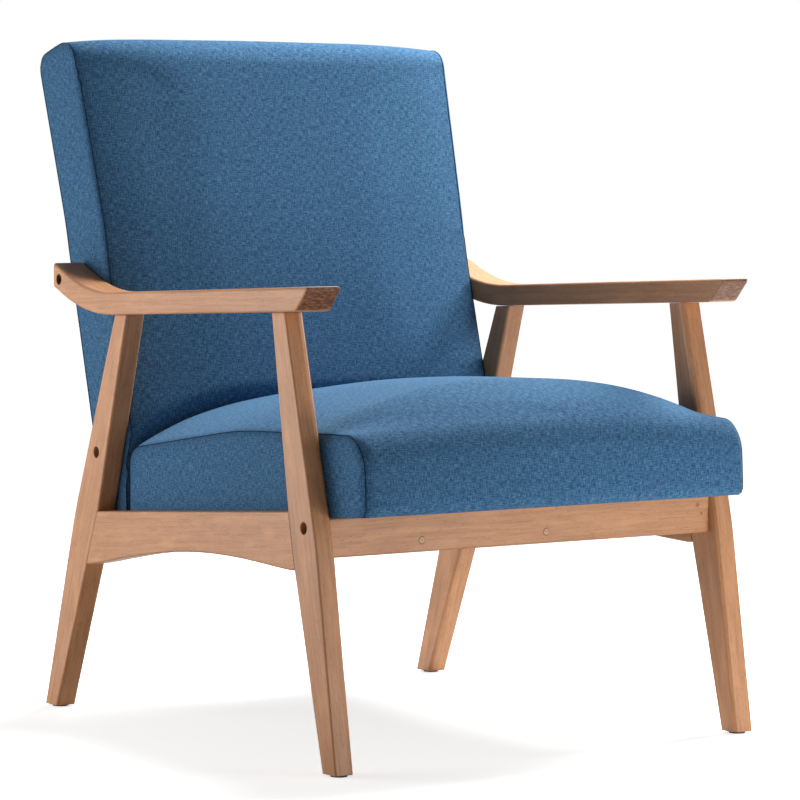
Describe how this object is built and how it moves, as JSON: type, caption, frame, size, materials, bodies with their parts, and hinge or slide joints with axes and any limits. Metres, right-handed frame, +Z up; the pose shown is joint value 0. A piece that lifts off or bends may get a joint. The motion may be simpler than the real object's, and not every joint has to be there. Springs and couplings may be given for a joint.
{
  "type": "accent chair",
  "caption": "Wood-framed accent chair with crowned blue fabric seat and back, bent armrests, kinked tapered legs and arched side rails",
  "frame": {"origin": "on the floor, under the middle of the chair's bounding box", "axes": "+Z up, -Y to the front of the chair, +X to the right seen from the front"},
  "size_m": [0.6478, 0.7794, 0.8736],
  "materials": {
    "frame_wood": "satin",
    "inner_wood": "matt",
    "upholstery": "woven",
    "lining": "matt",
    "webbing": "matt",
    "foam": "matt",
    "bolt_steel": "satin",
    "fitting_steel": "satin",
    "glide": "matt"
  },
  "bodies": {
    "root": {"left_front_leg": "frame_wood", "right_front_leg": "frame_wood", "left_rear_leg": "frame_wood", "right_rear_leg": "frame_wood", "left_armrest": "frame_wood", "right_armrest": "frame_wood", "left_side_rail": "frame_wood", "right_side_rail": "frame_wood", "front_rail": "frame_wood", "front_rail_plugs": "frame_wood", "front_cleat": "inner_wood", "left_seat_member": "inner_wood", "right_seat_member": "inner_wood", "front_seat_member": "inner_wood", "rear_seat_member": "inner_wood", "seat_corner_blocks": "inner_wood", "seat_webbing": "webbing", "seat_foam": "foam", "seat_cover": "upholstery", "seat_dust_cover": "lining", "left_back_stile": "inner_wood", "right_back_stile": "inner_wood", "back_top_rail": "inner_wood", "back_lumbar_rail": "inner_wood", "back_bottom_rail": "inner_wood", "back_webbing": "webbing", "back_board": "inner_wood", "back_foam": "foam", "back_cover": "upholstery", "back_dust_cover": "lining", "front_leg_bolts": "bolt_steel", "rear_leg_bolts": "bolt_steel", "armrest_bolts": "bolt_steel", "seat_to_back_bolts": "bolt_steel", "bolt_washers": "bolt_steel", "barrel_nuts": "fitting_steel", "threaded_inserts": "fitting_steel", "front_rail_screws": "fitting_steel", "seat_screws": "fitting_steel", "armrest_dowels": "inner_wood", "side_rail_dowels": "inner_wood", "front_rail_dowels": "inner_wood", "foot_glides": "glide"}
  },
  "joints": []
}
